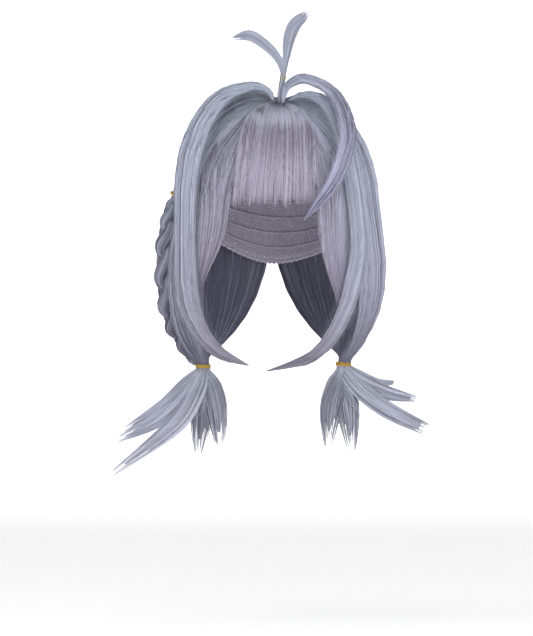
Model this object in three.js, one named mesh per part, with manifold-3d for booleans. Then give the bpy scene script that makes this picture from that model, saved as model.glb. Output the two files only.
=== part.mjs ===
// A braided wig of straight synthetic hair: an open cap that carries a fringe, face-framing locks,
// back hair gathered into two low pigtails, one braid, and a two-bladed sprout on the parting.
// Millimetres, +Z up. The wearer faces -Y, so +X is the wearer's left.
// The origin is the highest point inside the cap, where the crown of the head sits.

import * as THREE from "three";
import { mergeVertices } from "three/addons/utils/BufferGeometryUtils.js";
import Module from "manifold-3d";

const wasm = await Module();
wasm.setup();
const { degToRad, radToDeg, lerp, smoothstep } = THREE.MathUtils;

// Driving dimensions
const HEAD = { halfWidth: 74, halfDepth: 92, dome: 95 };
const PARTING = { forward: 18, left: 4 }; // degrees from the crown to the point the hair radiates from
const CAP_WALL = 1.6;
const CAP_RIM = { side: 93, swing: 43 }; // polar angle of the rim at the ears, and its rise and fall
const GAP = 0.5; // clearance between neighbouring pieces
const ROOT_POLAR = 5; // the hair starts this many degrees from the parting point
const HAIR_BED = CAP_WALL + 3 * GAP; // the lift at which hair lies on the cap
const CROWN_LIFT = 9; // how far the hair stands off the head round the parting
const CREST = { from: 5, full: 22, easing: 35, over: 80 }; // polar angles of the teased crown
const CREST_ACROSS = { front: 0.2, back: 0.62, parting: 1, dip: 1.6 }; // and its shares across
const TIE = { bundle: 6.2, cord: 1.4, turns: 3, height: 4.2 };
const TIE_LEFT = new THREE.Vector3(64, 45, -235);
const TIE_RIGHT = new THREE.Vector3(-65, 45, -237);
const BRAID = { across: 5.5, deep: 4, strand: 4.8, plump: 0.32, pitch: 64, face: 180 };
const UP = new THREE.Vector3(0, 0, 1);

// Materials
const LILAC = new THREE.MeshStandardMaterial({ color: 0xa9a8bd, roughness: 0.45, metalness: 0 });
const DEEP_LILAC = new THREE.MeshStandardMaterial({ color: 0x9798ad, roughness: 0.5, metalness: 0 });
const NET = new THREE.MeshStandardMaterial({ color: 0x8c8796, roughness: 0.9, metalness: 0 });
const GOLD_ELASTIC = new THREE.MeshStandardMaterial({ color: 0xc29a3a, roughness: 0.6, metalness: 0 });
const PALE_THREAD = new THREE.MeshStandardMaterial({ color: 0xcfcfae, roughness: 0.7, metalness: 0 });

const wig = new THREE.Group();

function addPiece(name, geometry, material) {
  const mesh = new THREE.Mesh(geometry, material);
  mesh.name = name;
  wig.add(mesh);
}

// Shared geometry

const partingTurn = new THREE.Euler(degToRad(PARTING.forward), degToRad(PARTING.left), 0);

// A point over the head by azimuth (0 is the wearer's left, 90 the back) and polar angle from the
// parting point, both in degrees, lifted off the head's surface.
function onHead(azimuth, polar, lift) {
  const round = degToRad(azimuth);
  const down = degToRad(polar);
  const unit = new THREE.Vector3(
    Math.sin(down) * Math.cos(round),
    Math.sin(down) * Math.sin(round),
    Math.cos(down),
  ).applyEuler(partingTurn);
  return new THREE.Vector3(
    unit.x * (HEAD.halfWidth + lift),
    unit.y * (HEAD.halfDepth + lift),
    unit.z * (HEAD.dome + lift) - HEAD.dome,
  );
}

// The polar angle at which a meridian reaches the widest level of the head.
function widestPolar(azimuth) {
  const round = degToRad(azimuth);
  return 90 + PARTING.forward * Math.sin(round) - PARTING.left * Math.cos(round);
}

// An azimuth moved inwards by half the clearance, where neighbouring sections of hair meet.
function edgeAzimuth(azimuth, polar, inward) {
  const radius = HEAD.halfWidth * Math.sin(degToRad(polar));
  return azimuth + inward * radToDeg(Math.asin(GAP / 2 / radius));
}

// The value of a column of a short table at u, with straight lines between its rows.
function readTable(rows, column, u) {
  const next = Math.max(1, rows.findIndex((r) => r.u >= u));
  const [a, b] = [rows[next - 1], rows[next]];
  return lerp(a[column], b[column], (u - a.u) / (b.u - a.u));
}

// A closed solid through rings of points. The first half of each ring is its outer side and the
// second half runs back along its inner side, so the two ends close like a zip.
function skin(rings) {
  const count = rings[0].length;
  const last = (rings.length - 1) * count;
  const index = [];
  const quad = (a, b, c, d) => index.push(a, b, c, a, c, d);
  for (let r = 0; r < rings.length - 1; r++) {
    for (let i = 0; i < count; i++) {
      const next = (i + 1) % count;
      quad(r * count + i, r * count + next, (r + 1) * count + next, (r + 1) * count + i);
    }
  }
  for (let i = 0; i < count / 2 - 1; i++) {
    const across = count - 1 - i;
    quad(i, across, across - 1, i + 1);
    quad(last + i, last + i + 1, last + across - 1, last + across);
  }
  const points = rings.flat();
  let volume = 0;
  for (let k = 0; k < index.length; k += 3) {
    const [a, b, c] = [points[index[k]], points[index[k + 1]], points[index[k + 2]]];
    volume += a.dot(new THREE.Vector3().crossVectors(b, c));
  }
  if (volume < 0) index.reverse();
  return new THREE.BufferGeometry().setFromPoints(points).setIndex(index);
}

function toSolid(geometry) {
  const bare = geometry.clone();
  bare.deleteAttribute("normal");
  bare.deleteAttribute("uv");
  const merged = mergeVertices(bare, 1e-3);
  return new wasm.Manifold(
    new wasm.Mesh({
      numProp: 3,
      vertProperties: new Float32Array(merged.attributes.position.array),
      triVerts: new Uint32Array(merged.index.array),
    }),
  );
}

// Several overlapping geometries joined into one closed body.
function fuse(geometries) {
  const joined = geometries.map(toSolid).reduce((whole, solid) => whole.add(solid));
  const mesh = joined.getMesh();
  return new THREE.BufferGeometry()
    .setAttribute("position", new THREE.BufferAttribute(mesh.vertProperties, 3))
    .setIndex(new THREE.BufferAttribute(mesh.triVerts, 1));
}

function facing(azimuth, elevation) {
  const round = degToRad(azimuth);
  const up = degToRad(elevation);
  return new THREE.Vector3(Math.cos(up) * Math.cos(round), Math.cos(up) * Math.sin(round), Math.sin(up));
}

// One rounded section of a lock: its outer side first, with ridges along it, then its inner side.
function lockRing(middle, along, face, width, thick, { half, ribs = 0, rib = 0 }) {
  const across = new THREE.Vector3().crossVectors(along, face).normalize();
  const outward = new THREE.Vector3().crossVectors(across, along);
  return Array.from({ length: 2 * half }, (_, i) => {
    const turn = (Math.PI * (i + 0.5)) / half;
    const ridge = i < half ? 1 + rib * Math.cos(ribs * (2 * turn - Math.PI)) : 1;
    return middle
      .clone()
      .addScaledVector(across, (width / 2) * Math.cos(turn))
      .addScaledVector(outward, (thick / 2) * Math.sin(turn) * ridge);
  });
}

// A lock of hair swept through a table of sections. Each row gives the middle of the section, its
// width and thickness, and the azimuth and elevation (degrees) of the side that it shows.
function sweptLock(rows, steps, shape) {
  const middle = new THREE.CatmullRomCurve3(rows.map((r) => new THREE.Vector3(r.x, r.y, r.z)));
  const sizes = new THREE.CatmullRomCurve3(rows.map((r) => new THREE.Vector3(r.width, r.thick, 0)));
  const faces = new THREE.CatmullRomCurve3(rows.map((r) => facing(r.face, r.up ?? 0)));
  const rings = Array.from({ length: steps + 1 }, (_, s) => {
    const t = s / steps;
    const size = sizes.getPoint(t);
    return lockRing(middle.getPoint(t), middle.getTangent(t), faces.getPoint(t), size.x, size.y, shape);
  });
  return skin(rings);
}

// A wound elastic: a ring with one rounded turn above another.
function woundTie(at, axis, inside, turns = TIE.turns) {
  const foot = (-turns * TIE.cord) / 2;
  const profile = [new THREE.Vector2(inside, foot)];
  for (let k = 0; k < 2 * turns; k++) {
    const bulge = k % 2 ? 0.65 : 1;
    profile.push(new THREE.Vector2(inside + TIE.cord * bulge, foot + ((k + 0.6) * TIE.cord) / 2));
  }
  profile.push(new THREE.Vector2(inside, -foot));
  profile.push(profile[0].clone());
  const ring = new THREE.LatheGeometry(profile, 12);
  const lathed = new THREE.Vector3(0, 1, 0);
  const turn = new THREE.Quaternion().setFromUnitVectors(lathed, axis.clone().normalize());
  return ring.applyQuaternion(turn).translate(at.x, at.y, at.z);
}

// Wig cap: a thin stretch shell, open below, higher at the forehead than at the nape

const CAP_SECTORS = 26;
const CAP_RINGS = 7;

function capGeometry() {
  const wallRing = (step, lift) =>
    Array.from({ length: CAP_SECTORS }, (_, k) => {
      const azimuth = (360 * k) / CAP_SECTORS;
      const rim = CAP_RIM.side + CAP_RIM.swing * Math.sin(degToRad(azimuth));
      return onHead(azimuth, (rim * Math.max(step, 0.4)) / CAP_RINGS, lift);
    });
  const steps = Array.from({ length: CAP_RINGS + 1 }, (_, step) => step);
  const outside = steps.map((step) => wallRing(step, CAP_WALL));
  const inside = steps.map((step) => wallRing(step, 0)).reverse();
  return skin([...outside, ...inside]);
}

addPiece("wig_cap", capGeometry(), NET);

// Hair that leaves the parting, follows the head to its widest level, and falls along a smooth curve
// to where it ends: a ring inside an elastic, or a narrow tip. Azimuths are those of the left side.

const HEAD_STEPS = 7;
const FALL_STEPS = 8;

// The share of the teased crown's height: none at the front edge, and a dip along the back parting.
function crest(polar, u) {
  const rise = smoothstep(polar, CREST.from, CREST.full);
  const fall = 1 - smoothstep(polar, CREST.easing, CREST.over);
  const dip = CREST_ACROSS.dip * smoothstep(u, CREST_ACROSS.back, CREST_ACROSS.parting);
  return rise * fall * (smoothstep(u, 0, CREST_ACROSS.front) - dip);
}

function fallingHair(h) {
  const place = (azimuth) => (h.side > 0 ? azimuth : 180 - azimuth);
  const ringAt = (s) =>
    Array.from({ length: 2 * h.half }, (_, i) => {
      const outer = i < h.half;
      const u = (outer ? i : 2 * h.half - 1 - i) / (h.half - 1);
      const leave = widestPolar(place(lerp(h.front, h.back, u)));
      const polar = lerp(ROOT_POLAR, leave, Math.min(s / HEAD_STEPS, 1));
      const azimuth = lerp(edgeAzimuth(h.front, polar, 1), edgeAzimuth(h.back, polar, -1), u);
      const swell = smoothstep(polar, h.swellFrom, h.swellTo);
      const ridge = h.rib * swell * (Math.abs(Math.sin(Math.PI * h.ribs * u)) - 0.5);
      const full = lerp(CROWN_LIFT, readTable(h.lifts, "lift", u), swell) + ridge + h.crest * crest(polar, u);
      const point = onHead(place(azimuth), polar, outer ? full : HAIR_BED);
      if (s <= HEAD_STEPS) return point;
      const around = h.end.facing - 90 + (180 * (i + 0.5)) / h.half;
      const turn = degToRad(place(around));
      const goal = h.end.at.clone();
      goal.add(new THREE.Vector3(h.end.radius * Math.cos(turn), h.end.radius * Math.sin(turn), 0));
      const outward = new THREE.Vector3(point.x, point.y, 0).normalize().multiplyScalar(h.drop * h.spread);
      const below = point.clone().add(outward).addScaledVector(UP, -h.drop);
      const above = goal.clone().addScaledVector(h.end.from, h.rise);
      return new THREE.CubicBezierCurve3(point, below, above, goal).getPoint((s - HEAD_STEPS) / FALL_STEPS);
    });
  return skin(Array.from({ length: HEAD_STEPS + FALL_STEPS + 1 }, (_, s) => ringAt(s)));
}

// Back hair: two halves that meet in a parting down the back, each gathered into a low elastic

const BACK_FRONT_EDGE = -26;
const backHair = {
  front: BACK_FRONT_EDGE,
  back: 90,
  half: 21,
  ribs: 5,
  rib: 3.4,
  swellFrom: 8,
  swellTo: 48,
};

addPiece(
  "back_hair_left",
  fallingHair({
    ...backHair,
    side: 1,
    swellTo: 85,
    lifts: [
      { u: 0, lift: 7 },
      { u: 0.18, lift: 9 },
      { u: 0.32, lift: 23 },
      { u: 0.6, lift: 18 },
      { u: 1, lift: 11 },
    ],
    crest: 6,
    drop: 104,
    spread: 0.24,
    rise: 16,
    end: {
      at: TIE_LEFT.clone().addScaledVector(UP, TIE.height / 2 + GAP),
      radius: TIE.bundle,
      facing: 0,
      from: new THREE.Vector3(0.1, -0.1, 1),
    },
  }),
  DEEP_LILAC,
);

addPiece(
  "back_hair_right",
  fallingHair({
    ...backHair,
    side: -1,
    lifts: [
      { u: 0, lift: 7 },
      { u: 0.2, lift: 9 },
      { u: 0.4, lift: 12 },
      { u: 1, lift: 11 },
    ],
    crest: 7,
    drop: 112,
    spread: 0.06,
    rise: 16,
    end: {
      at: TIE_RIGHT.clone().addScaledVector(UP, TIE.height / 2 + GAP),
      radius: TIE.bundle,
      facing: 0,
      from: new THREE.Vector3(-0.05, -0.1, 1),
    },
  }),
  DEEP_LILAC,
);

// Temple locks: they leave the parting beside the fringe and hang to a point at the jaw

const TEMPLE_FRONT_EDGE = { left: -60, right: -57 };
const templeLock = {
  back: BACK_FRONT_EDGE,
  half: 8,
  ribs: 2,
  rib: 1.6,
  swellFrom: 8,
  swellTo: 30,
  crest: 0,
  drop: 60,
  spread: 0.02,
  rise: 40,
};

addPiece(
  "temple_lock_left",
  fallingHair({
    ...templeLock,
    side: 1,
    front: TEMPLE_FRONT_EDGE.left,
    lifts: [
      { u: 0, lift: 7 },
      { u: 0.6, lift: 8.5 },
      { u: 1, lift: 7 },
    ],
    end: {
      at: new THREE.Vector3(60, -58, -204),
      radius: 1.2,
      facing: -45,
      from: new THREE.Vector3(0.02, 0, 1),
    },
  }),
  LILAC,
);

addPiece(
  "temple_lock_right",
  fallingHair({
    ...templeLock,
    side: -1,
    front: TEMPLE_FRONT_EDGE.right,
    lifts: [
      { u: 0, lift: 7 },
      { u: 0.6, lift: 8 },
      { u: 1, lift: 6.5 },
    ],
    drop: 45,
    spread: 0.1,
    end: {
      at: new THREE.Vector3(-68, -48, -188),
      radius: 1.2,
      facing: -45,
      from: new THREE.Vector3(-0.02, 0, 1),
    },
  }),
  LILAC,
);

// Bangs: a fan from the parting down the forehead to a straight edge of small points

const BANGS = { half: 29, teeth: 7, tooth: 4, steps: 8, root: 8, full: 6.8, tip: 3.8, trim: 2, uneven: 0.4 };

function bangsGeometry() {
  const right = -180 - TEMPLE_FRONT_EDGE.right;
  const left = TEMPLE_FRONT_EDGE.left;
  const ringAt = (s) =>
    Array.from({ length: 2 * BANGS.half }, (_, i) => {
      const outer = i < BANGS.half;
      const u = (outer ? i : 2 * BANGS.half - 1 - i) / (BANGS.half - 1);
      const wave = Math.abs(Math.sin(Math.PI * BANGS.teeth * u));
      const uneven = 1 - BANGS.uneven * (1 - Math.sin(4 * Math.PI * u));
      const reach = widestPolar(lerp(right, left, u)) - BANGS.trim + BANGS.tooth * (wave - 0.5) * uneven;
      const t = s / BANGS.steps;
      const polar = lerp(ROOT_POLAR, reach, t);
      const azimuth = lerp(edgeAzimuth(right, polar, 1), edgeAzimuth(left, polar, -1), u);
      const body = lerp(BANGS.root, BANGS.full, smoothstep(t, 0, 0.5)) + 1.2 * (wave - 0.5) * t;
      const lift = lerp(body, BANGS.tip, smoothstep(t, 0.8, 1));
      return onHead(azimuth, polar, outer ? lift : HAIR_BED);
    });
  return skin(Array.from({ length: BANGS.steps + 1 }, (_, s) => ringAt(s)));
}

addPiece("bangs", bangsGeometry(), LILAC);

// Side locks: long locks that arch off the parting, hang beside the face and curl in to a point

const SIDE_LOCK_RIGHT = [
  { x: -1, y: -36, z: 3.4, width: 5, thick: 3, face: -100, up: 60 },
  { x: -3.5, y: -38, z: 10, width: 6.5, thick: 3.4, face: -101, up: 59 },
  { x: -10, y: -40.5, z: 14.6, width: 9.5, thick: 4.2, face: -103, up: 57 },
  { x: -20, y: -43, z: 16.2, width: 13, thick: 5, face: -105, up: 55 },
  { x: -41, y: -50, z: 10, width: 17, thick: 6, face: -115, up: 42 },
  { x: -57, y: -56, z: -4, width: 20, thick: 7, face: -120, up: 28 },
  { x: -71, y: -59, z: -31, width: 23, thick: 7.5, face: -122, up: 12 },
  { x: -78.5, y: -58, z: -62, width: 24, thick: 8, face: -122 },
  { x: -80.5, y: -56, z: -100, width: 22, thick: 8, face: -122 },
  { x: -80, y: -55, z: -140, width: 22, thick: 8, face: -120 },
  { x: -79, y: -56, z: -172, width: 22, thick: 8, face: -115 },
  { x: -71, y: -58, z: -197, width: 17, thick: 7.5, face: -108 },
  { x: -59, y: -61, z: -215, width: 13, thick: 6.5, face: -100 },
  { x: -44, y: -64, z: -227, width: 9, thick: 5, face: -95 },
  { x: -22.5, y: -66, z: -235, width: 1, thick: 1, face: -90 },
];

const SIDE_LOCK_LEFT = [
  { x: 12, y: -36, z: 2.9, width: 4, thick: 2.6, face: -70, up: 60 },
  { x: 26, y: -46, z: 8.5, width: 8, thick: 4, face: -70, up: 45 },
  { x: 44, y: -56, z: 3, width: 11, thick: 5, face: -65, up: 32 },
  { x: 58, y: -61, z: -17, width: 13, thick: 6, face: -62, up: 20 },
  { x: 66, y: -64, z: -48, width: 15, thick: 7, face: -58, up: 8 },
  { x: 73, y: -65, z: -90, width: 16, thick: 7, face: -58 },
  { x: 76.5, y: -65, z: -131, width: 15, thick: 7, face: -60 },
  { x: 71, y: -66, z: -160, width: 16, thick: 7, face: -64 },
  { x: 66, y: -67, z: -180, width: 14, thick: 7, face: -70 },
  { x: 57, y: -68, z: -200, width: 13, thick: 6.5, face: -78 },
  { x: 46, y: -69, z: -217, width: 11, thick: 6, face: -84 },
  { x: 28, y: -70, z: -231, width: 8, thick: 5, face: -90 },
  { x: -7, y: -71, z: -240, width: 1, thick: 1, face: -90 },
];

addPiece("side_lock_right", sweptLock(SIDE_LOCK_RIGHT, 21, { half: 8, ribs: 2, rib: 0.12 }), LILAC);
addPiece("side_lock_left", sweptLock(SIDE_LOCK_LEFT, 21, { half: 7, ribs: 2, rib: 0.12 }), LILAC);

// Sweep lock: a sickle that arches high off the parting and sweeps in to a point over the brow

const SWEEP_LOCK = [
  { x: 7.5, y: -40, z: 0.7, width: 4, thick: 3, face: -80, up: 20 },
  { x: 11, y: -40, z: 14.5, width: 6, thick: 4, face: -83, up: 20 },
  { x: 18.5, y: -45, z: 20.5, width: 8.5, thick: 5, face: -85, up: 20 },
  { x: 28, y: -51, z: 22.5, width: 9, thick: 6, face: -82, up: 20 },
  { x: 46.5, y: -62, z: 14.5, width: 9.5, thick: 6.5, face: -76, up: 18 },
  { x: 58.5, y: -71, z: 0, width: 12.5, thick: 7, face: -72, up: 12 },
  { x: 66, y: -78, z: -25, width: 15, thick: 7.5, face: -70 },
  { x: 62, y: -84, z: -50, width: 13.5, thick: 7, face: -72 },
  { x: 52.5, y: -92, z: -73, width: 11.5, thick: 6, face: -76 },
  { x: 40, y: -98, z: -90, width: 7.5, thick: 4.5, face: -80 },
  { x: 26.5, y: -102, z: -106, width: 1, thick: 1, face: -84 },
];

addPiece("sweep_lock_left", sweptLock(SWEEP_LOCK, 19, { half: 6 }), LILAC);

// Sprout: a stem on the parting that splits into two flat blades, bound with thread

const partingPoint = onHead(0, 0, CAP_WALL + GAP);
const SPROUT_FORK = { x: 8, y: partingPoint.y - 2, z: 24 };

const SPROUT_STEM = [
  { x: partingPoint.x, y: partingPoint.y, z: partingPoint.z, width: 6, thick: 6, face: -90 },
  { x: 6.5, y: SPROUT_FORK.y, z: 12, width: 5.4, thick: 5.4, face: -90 },
  { ...SPROUT_FORK, width: 4.6, thick: 4.6, face: -90 },
  { x: 9, y: SPROUT_FORK.y, z: 33, width: 5, thick: 4, face: -90 },
];

const SPROUT_BLADE_LEFT = [
  { x: 8.6, y: SPROUT_FORK.y, z: 28, width: 4.4, thick: 3.4, face: -90 },
  { x: 11, y: SPROUT_FORK.y, z: 42, width: 6, thick: 3.4, face: -90 },
  { x: 13.2, y: SPROUT_FORK.y, z: 57, width: 10, thick: 3, face: -90 },
  { x: 18, y: SPROUT_FORK.y, z: 71, width: 11.5, thick: 2.8, face: -90 },
  { x: 26, y: SPROUT_FORK.y, z: 79, width: 9, thick: 2.2, face: -90 },
  { x: 32, y: SPROUT_FORK.y, z: 84, width: 2, thick: 1.2, face: -90 },
];

const SPROUT_BLADE_RIGHT = [
  { x: 8.6, y: SPROUT_FORK.y, z: 28, width: 4.4, thick: 3.4, face: -90 },
  { x: 5.5, y: SPROUT_FORK.y, z: 38, width: 6, thick: 3.4, face: -90 },
  { x: -2, y: SPROUT_FORK.y, z: 48.5, width: 7.8, thick: 3, face: -90 },
  { x: -18, y: SPROUT_FORK.y, z: 60.8, width: 9.5, thick: 2.8, face: -90 },
  { x: -28, y: SPROUT_FORK.y, z: 62, width: 8, thick: 2.4, face: -90 },
  { x: -39, y: SPROUT_FORK.y, z: 59, width: 1.6, thick: 1.2, face: -90 },
];

addPiece(
  "sprout",
  fuse([
    sweptLock(SPROUT_STEM, 4, { half: 5 }),
    sweptLock(SPROUT_BLADE_LEFT, 9, { half: 4 }),
    sweptLock(SPROUT_BLADE_RIGHT, 9, { half: 4 }),
  ]),
  LILAC,
);

addPiece(
  "sprout_tie",
  woundTie(new THREE.Vector3().copy(SPROUT_FORK), new THREE.Vector3(0.14, 0, 1), 2.9),
  PALE_THREAD,
);

// Braid: three strands plaited over the back hair, thin at both ends, with an elastic at the top

const BRAID_PATH = [
  { x: -87.6, y: 9, z: -68, size: 0.24 },
  { x: -90, y: 13.5, z: -80.5, size: 0.27 },
  { x: -93.8, y: 17.5, z: -91, size: 0.62 },
  { x: -96.2, y: 22.5, z: -107, size: 0.84 },
  { x: -98.6, y: 30, z: -128, size: 1 },
  { x: -99.2, y: 36, z: -155, size: 1 },
  { x: -95.8, y: 41, z: -180, size: 1.06 },
  { x: -90, y: 45, z: -199, size: 1.04 },
  { x: -82.8, y: 47.4, z: -216, size: 0.81 },
  { x: -74.8, y: 47.4, z: -233.5, size: 0.38 },
];
const BRAID_STEPS = 20;
const braidMiddle = new THREE.CatmullRomCurve3(BRAID_PATH.map((r) => new THREE.Vector3(r.x, r.y, r.z)));
const braidSizes = new THREE.CatmullRomCurve3(BRAID_PATH.map((r) => new THREE.Vector3(r.size, 0, 0)));
const braidTurns = (braidMiddle.getLength() / BRAID.pitch) * 2 * Math.PI;

function braidPoint(strand, t) {
  const phase = braidTurns * t + (strand * 2 * Math.PI) / 3;
  const size = braidSizes.getPoint(t).x;
  const face = facing(BRAID.face, 0);
  const across = new THREE.Vector3().crossVectors(braidMiddle.getTangent(t), face).normalize();
  return braidMiddle
    .getPoint(t)
    .addScaledVector(across, size * BRAID.across * Math.sin(phase))
    .addScaledVector(face, -size * BRAID.deep * Math.sin(2 * phase));
}

function braidStrand(strand) {
  const rings = Array.from({ length: BRAID_STEPS + 1 }, (_, s) => {
    const t = s / BRAID_STEPS;
    const [before, after] = [Math.max(0, t - 0.01), Math.min(1, t + 0.01)];
    const along = braidPoint(strand, after).sub(braidPoint(strand, before)).normalize();
    const swing = Math.sin(braidTurns * t + (strand * 2 * Math.PI) / 3);
    const size = 2 * BRAID.strand * braidSizes.getPoint(t).x * (1 + BRAID.plump * swing * swing);
    return lockRing(braidPoint(strand, t), along, facing(BRAID.face, 0), size, size, { half: 3 });
  });
  return skin(rings);
}

addPiece("braid", fuse([braidStrand(0), braidStrand(1), braidStrand(2)]), LILAC);

const BRAID_TIE_SHARE = 1 / (BRAID_PATH.length - 1);
addPiece(
  "braid_tie",
  woundTie(braidMiddle.getPoint(BRAID_TIE_SHARE), new THREE.Vector3(0.55, -0.2, 0.81), 4.1, 2),
  GOLD_ELASTIC,
);

// Pigtails: stiff bunches that burst from the elastics in long points, fused at the neck

function neckRow(tie, below, width) {
  return { x: tie.x, y: tie.y, z: tie.z - below, width, thick: width, face: -90 };
}

function pigtail(tie, spikes) {
  const neck = [
    neckRow(tie, -TIE.height / 2, 2 * TIE.bundle),
    neckRow(tie, TIE.height, 2 * TIE.bundle),
    neckRow(tie, 10, TIE.bundle),
  ];
  const start = neckRow(tie, TIE.height, 8);
  const bunches = spikes.map((rows) => {
    const sections = rows.map((r) => ({ face: -90, ...r }));
    return sweptLock([start, ...sections], 7, { half: 4 });
  });
  return fuse([sweptLock(neck, 3, { half: 6 }), ...bunches]);
}

const PIGTAIL_RIGHT = [
  [
    { x: -80, y: 47, z: -254, width: 14, thick: 9 },
    { x: -101, y: 50, z: -273, width: 12, thick: 7 },
    { x: -138, y: 53, z: -296, width: 5, thick: 2 },
  ],
  [
    { x: -79, y: 46, z: -259, width: 15, thick: 10 },
    { x: -105, y: 48, z: -285, width: 14, thick: 8 },
    { x: -146, y: 50, z: -306, width: 5, thick: 2 },
  ],
  [
    { x: -72, y: 44, z: -261, width: 16, thick: 10 },
    { x: -92, y: 42, z: -292, width: 16, thick: 9 },
    { x: -149, y: 38, z: -336, width: 5, thick: 2 },
  ],
  [
    { x: -65, y: 54, z: -258, width: 18, thick: 12 },
    { x: -67, y: 58, z: -286, width: 19, thick: 11 },
    { x: -70, y: 60, z: -320, width: 7, thick: 3 },
  ],
  [
    { x: -57, y: 51, z: -257, width: 18, thick: 12 },
    { x: -52, y: 54, z: -281, width: 18, thick: 11 },
    { x: -50, y: 56, z: -312, width: 7, thick: 3 },
  ],
];

const PIGTAIL_LEFT = [
  [
    { x: 80, y: 53, z: -246, width: 9, thick: 7 },
    { x: 94, y: 56, z: -252, width: 8, thick: 5 },
    { x: 111, y: 58, z: -252, width: 3.5, thick: 2 },
  ],
  [
    { x: 84, y: 48, z: -253, width: 13, thick: 9 },
    { x: 106, y: 50, z: -262, width: 12, thick: 7 },
    { x: 131, y: 51, z: -267, width: 6, thick: 2 },
  ],
  [
    { x: 78, y: 44, z: -257, width: 15, thick: 10 },
    { x: 104, y: 42, z: -277, width: 15, thick: 8 },
    { x: 142, y: 40, z: -296, width: 11, thick: 2.5 },
  ],
  [
    { x: 66, y: 54, z: -256, width: 18, thick: 12 },
    { x: 69, y: 58, z: -283, width: 19, thick: 11 },
    { x: 72, y: 60, z: -316, width: 7, thick: 3 },
  ],
  [
    { x: 57, y: 51, z: -256, width: 18, thick: 12 },
    { x: 52, y: 54, z: -280, width: 19, thick: 11 },
    { x: 50, y: 56, z: -311, width: 7, thick: 3 },
  ],
];

addPiece("pigtail_right", pigtail(TIE_RIGHT, PIGTAIL_RIGHT), LILAC);
addPiece("pigtail_left", pigtail(TIE_LEFT, PIGTAIL_LEFT), LILAC);
addPiece("pigtail_tie_right", woundTie(TIE_RIGHT, UP, TIE.bundle + GAP), GOLD_ELASTIC);
addPiece("pigtail_tie_left", woundTie(TIE_LEFT, UP, TIE.bundle + GAP), GOLD_ELASTIC);

export default wig;
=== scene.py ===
import bpy
import numpy as np
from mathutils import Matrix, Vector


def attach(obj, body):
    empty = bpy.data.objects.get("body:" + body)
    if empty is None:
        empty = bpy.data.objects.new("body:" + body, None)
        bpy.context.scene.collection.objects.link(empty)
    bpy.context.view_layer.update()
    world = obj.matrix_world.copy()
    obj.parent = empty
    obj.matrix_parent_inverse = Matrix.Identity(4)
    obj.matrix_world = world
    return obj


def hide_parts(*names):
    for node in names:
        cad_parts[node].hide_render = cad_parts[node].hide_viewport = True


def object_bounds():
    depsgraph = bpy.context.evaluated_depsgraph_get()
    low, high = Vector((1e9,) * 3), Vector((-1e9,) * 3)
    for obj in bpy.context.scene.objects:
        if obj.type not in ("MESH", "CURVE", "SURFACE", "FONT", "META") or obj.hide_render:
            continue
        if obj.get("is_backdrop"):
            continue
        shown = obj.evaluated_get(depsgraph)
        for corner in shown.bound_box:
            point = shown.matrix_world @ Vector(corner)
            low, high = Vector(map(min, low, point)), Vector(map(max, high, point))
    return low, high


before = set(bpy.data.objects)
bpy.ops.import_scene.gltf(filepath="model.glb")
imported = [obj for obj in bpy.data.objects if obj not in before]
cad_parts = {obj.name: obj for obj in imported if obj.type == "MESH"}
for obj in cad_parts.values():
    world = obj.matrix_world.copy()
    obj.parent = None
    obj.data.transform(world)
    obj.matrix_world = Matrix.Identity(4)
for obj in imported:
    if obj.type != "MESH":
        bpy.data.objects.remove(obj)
cad_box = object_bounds()


# Wig cap. A thin stretch shell that follows the head, cut high over the forehead and low at the
# nape. Inside it shows fine net, rows of sewn hair wefts and a soft band round the rim.

MM = 0.001
HEAD = np.array([74.0, 92.0, 95.0])  # half width, half depth, crown to widest level, in mm
PARTING = np.radians([18.0, 4.0])  # forward and left of the crown
CAP_WALL = 1.6
scene = bpy.context.scene


def on_head(azimuth, polar, lift):
    """Point over the head, in mm: the unit direction at azimuth and polar angle (degrees) from the
    parting, turned forward and left, times the head's half sizes plus lift."""
    azimuth, polar = np.radians(azimuth), np.radians(polar)
    x, y, z = np.sin(polar) * np.cos(azimuth), np.sin(polar) * np.sin(azimuth), np.cos(polar)
    forward, left = PARTING
    x, z = x * np.cos(left) + z * np.sin(left), z * np.cos(left) - x * np.sin(left)
    y, z = y * np.cos(forward) - z * np.sin(forward), y * np.sin(forward) + z * np.cos(forward)
    lift = np.broadcast_to(lift, x.shape)
    return np.stack([x * (HEAD[0] + lift), y * (HEAD[1] + lift), z * (HEAD[2] + lift) - HEAD[2]], -1)


def rim_polar(azimuth):
    """Polar angle of the cap's rim: 93 degrees at the ears, 43 less in front and 43 more behind."""
    return 93 + 43 * np.sin(np.radians(azimuth))


def closed_tube(points, round_the_end=False):
    """Quads round a grid of points (station, corner, xyz) whose corners close into rings; the
    stations close too if round_the_end, or else the two ends get fans of triangles."""
    stations, corners = points.shape[:2]
    j, k = np.meshgrid(np.arange(stations - (not round_the_end)), np.arange(corners), indexing="ij")
    up, side = (j + 1) % stations, (k + 1) % corners
    quads = np.stack([j * corners + k, j * corners + side, up * corners + side, up * corners + k], -1)
    flat = points.reshape(-1, 3)
    if round_the_end:
        return flat, quads.reshape(-1, 4), np.zeros((0, 3), int)
    ends = len(flat) + np.arange(2)
    k = np.arange(corners)
    side, last = (k + 1) % corners, (stations - 1) * corners
    first_fan = np.stack([side, k, np.full(corners, ends[0])], -1)
    last_fan = np.stack([last + k, last + side, np.full(corners, ends[1])], -1)
    flat = np.concatenate([flat, points[[0, -1]].mean(1)])
    return flat, quads.reshape(-1, 4), np.concatenate([first_fan, last_fan])


def join(parts):
    """One (points, quads, triangles) from several, with the later ones' corners counted on."""
    points, quads, tris, count = [], [], [], 0
    for p, q, t in parts:
        points.append(p)
        quads.append(q + count)
        tris.append(t + count)
        count += len(p)
    return np.concatenate(points), np.concatenate(quads), np.concatenate(tris)


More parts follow.
